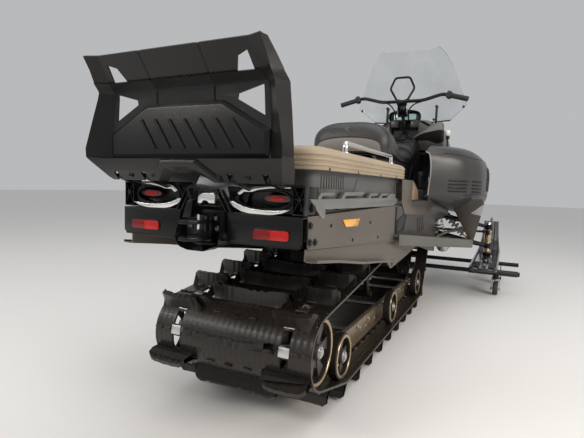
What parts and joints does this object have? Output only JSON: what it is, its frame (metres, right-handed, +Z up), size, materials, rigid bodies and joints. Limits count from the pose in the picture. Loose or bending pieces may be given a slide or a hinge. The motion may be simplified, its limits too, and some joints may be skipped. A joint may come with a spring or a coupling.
{
  "type": "snowmobile",
  "caption": "Utility snowmobile on a wheeled ski dolly, with a steerable pair of skis, a lugged rubber track, a rear cargo deck and a raised snow flap.",
  "frame": {"origin": "on the floor under the middle of the whole machine, dolly and raised flap included", "axes": "+Y forward, +X to the rider's right, +Z up"},
  "size_m": [1.504, 3.2504, 1.588],
  "materials": {
    "track_rubber": "matt black moulded rubber",
    "wheel_plastic": "black moulded wheels with rubber tyres",
    "steel_bright": "bare steel",
    "rail_metal": "satin bronze-grey aluminium",
    "frame_black": "satin black paint",
    "shock_metal": "dark spring steel and a plain body",
    "tunnel_metal": "satin warm-grey aluminium",
    "trim_black": "grained matt black plastic",
    "lens_red": "clear red plastic",
    "tub_grey": "dark grey plastic",
    "deck_tan": "tan ribbed plastic",
    "rail_chrome": "polished",
    "seat_cover": "dark grey grained vinyl",
    "body_grey": "dark grey painted plastic",
    "screen_clear": "clear polycarbonate",
    "lamp_clear": "clear lens",
    "board_metal": "light satin aluminium",
    "engine_cast": "cast grey",
    "grip_rubber": "black rubber and plastic",
    "ski_gloss": "glossy black plastic",
    "fork_steel": "zinc-plated pressed steel",
    "caster_rubber": "dark solid rubber"
  },
  "bodies": {
    "chassis": {"track": "track_rubber", "track_wheels": "wheel_plastic", "drive_axle": "steel_bright", "slide_rails": "rail_metal", "suspension_arms": "frame_black", "rear_shocks": "shock_metal", "tunnel": "tunnel_metal", "rear_bumper": "trim_black", "rear_lenses": "lens_red", "hitch": "frame_black", "rack_tray": "tunnel_metal", "storage_tub": "tub_grey", "cargo_deck": "deck_tan", "deck_rails": "rail_chrome", "seat": "seat_cover", "seat_base": "trim_black", "side_panel_left": "body_grey", "side_panel_right": "body_grey", "hood": "body_grey", "dash": "trim_black", "windshield": "screen_clear", "headlights": "lamp_clear", "belly_pan": "trim_black", "front_bumper": "frame_black", "running_board_left": "board_metal", "running_board_right": "board_metal", "engine": "engine_cast", "front_arms": "frame_black", "front_shocks": "shock_metal", "silencer": "steel_bright", "dolly_frame": "frame_black"},
    "steering": {"handlebar": "frame_black", "bar_controls": "grip_rubber"},
    "left_ski": {"ski_left": "ski_gloss", "spindle_left": "frame_black"},
    "right_ski": {"ski_right": "ski_gloss", "spindle_right": "frame_black"},
    "tie_rod_pair": {"tie_rods": "frame_black"},
    "rear_flap": {"snow_flap": "trim_black"},
    "left_caster": {"caster_fork_left": "fork_steel"},
    "right_caster": {"caster_fork_right": "fork_steel"},
    "left_rear_wheel": {"caster_wheel_rear_left": "caster_rubber"},
    "right_rear_wheel": {"caster_wheel_rear_right": "caster_rubber"},
    "left_front_wheel": {"caster_wheel_front_left": "caster_rubber"},
    "right_front_wheel": {"caster_wheel_front_right": "caster_rubber"}
  },
  "joints": [
    {"name": "bar_steer", "type": "hinge", "parent": "chassis", "child": "steering", "pos_m": [0, 0.603, 1.208], "axis": [0, -0.5, 0.866], "range_deg": [-30, 30]},
    {"name": "left_ski_steer", "type": "hinge", "parent": "chassis", "child": "left_ski", "pos_m": [-0.55, 0.975, 0.333], "axis": [0, 0, 1], "range_deg": [-31, 31]},
    {"name": "right_ski_steer", "type": "hinge", "parent": "chassis", "child": "right_ski", "pos_m": [0.55, 0.975, 0.333], "axis": [0, 0, 1], "range_deg": [-31, 31]},
    {"name": "tie_rod_slide", "type": "slide", "parent": "chassis", "child": "tie_rod_pair", "axis": [1, 0, 0], "range_m": [-0.05, 0.05]},
    {"name": "flap_fold", "type": "hinge", "parent": "chassis", "child": "rear_flap", "pos_m": [0, -1.53, 0.66], "axis": [1, 0, 0], "range_deg": [0, 140]},
    {"name": "left_caster_swivel", "type": "hinge", "parent": "chassis", "child": "left_caster", "pos_m": [-0.62, 0.7, 0.108], "axis": [0, 0, 1], "continuous": true},
    {"name": "left_rear_roll", "type": "hinge", "parent": "left_caster", "child": "left_rear_wheel", "pos_m": [-0.62, 0.674, 0.0375], "axis": [1, 0, 0], "continuous": true},
    {"name": "left_front_roll", "type": "hinge", "parent": "chassis", "child": "left_front_wheel", "pos_m": [-0.62, 1.056, 0.0375], "axis": [1, 0, 0], "continuous": true},
    {"name": "right_caster_swivel", "type": "hinge", "parent": "chassis", "child": "right_caster", "pos_m": [0.62, 0.7, 0.108], "axis": [0, 0, 1], "continuous": true},
    {"name": "right_rear_roll", "type": "hinge", "parent": "right_caster", "child": "right_rear_wheel", "pos_m": [0.62, 0.674, 0.0375], "axis": [1, 0, 0], "continuous": true},
    {"name": "right_front_roll", "type": "hinge", "parent": "chassis", "child": "right_front_wheel", "pos_m": [0.62, 1.056, 0.0375], "axis": [1, 0, 0], "continuous": true}
  ],
  "couplings": [
    {"joint": "left_ski_steer", "follows": "bar_steer", "ratio": 1},
    {"joint": "right_ski_steer", "follows": "bar_steer", "ratio": 1},
    {"joint": "tie_rod_slide", "follows": "bar_steer", "m_per_rad": 0.09}
  ]
}
